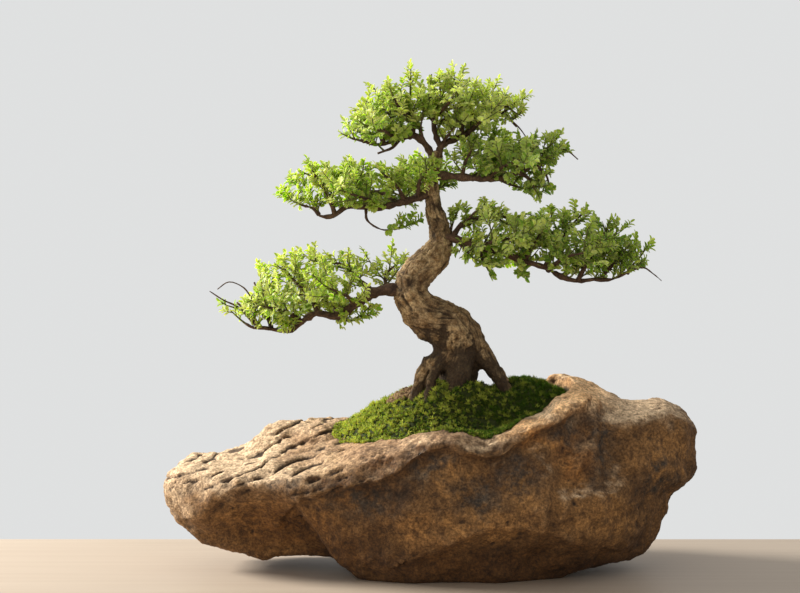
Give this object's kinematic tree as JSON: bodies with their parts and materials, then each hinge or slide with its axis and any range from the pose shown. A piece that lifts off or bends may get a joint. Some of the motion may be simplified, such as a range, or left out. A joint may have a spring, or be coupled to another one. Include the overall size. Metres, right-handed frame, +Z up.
{
  "type": "bonsai tree",
  "caption": "Small curved-trunk bonsai with leafy sprays, rooted in a moss mound in the hollow of a rough natural stone.",
  "frame": {"origin": "middle of the stone's length and depth, on the surface it stands on", "axes": "+X to the right seen from the front, along the stone's length; +Y away from the viewer; +Z up"},
  "size_m": [0.3634, 0.1917, 0.3346],
  "materials": {
    "stone": "rough, weathered",
    "soil": "granular",
    "moss": "velvety",
    "bark": "rough bark",
    "young_leaf": "satin leaf",
    "grown_leaf": "satin leaf"
  },
  "bodies": {
    "root": {"stone": "stone", "soil": "soil", "moss": "moss", "trunk": "bark", "low_left_spray": "young_leaf", "mid_left_spray": "young_leaf", "crown_left_spray": "young_leaf", "crown_right_spray": "grown_leaf", "upper_right_spray": "grown_leaf", "low_right_spray": "grown_leaf", "back_spray": "grown_leaf"}
  },
  "joints": []
}
